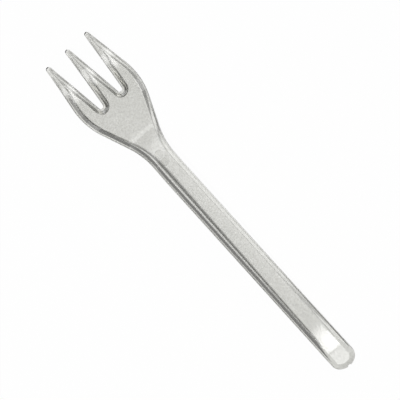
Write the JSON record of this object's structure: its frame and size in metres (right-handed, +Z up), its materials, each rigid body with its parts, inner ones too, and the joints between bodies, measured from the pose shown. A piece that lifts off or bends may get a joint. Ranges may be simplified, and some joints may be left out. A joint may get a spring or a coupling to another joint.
{
  "type": "disposable fork",
  "caption": "Small clear plastic fork, moulded in one piece: a short head with tapered tines, a curved neck and a long hollow-backed handle, for picking up bites of food.",
  "frame": {"origin": "on the table under the middle of the fork's length, on its centre plane", "axes": "+X towards the tine tips along the length, +Y to the left of the tines, +Z up out of the food side"},
  "size_m": [0.102, 0.0176, 0.0066],
  "materials": {
    "clear_styrene": "glass-clear moulded polystyrene with a faint haze"
  },
  "bodies": {
    "root": {"fork": "clear_styrene"}
  },
  "joints": []
}
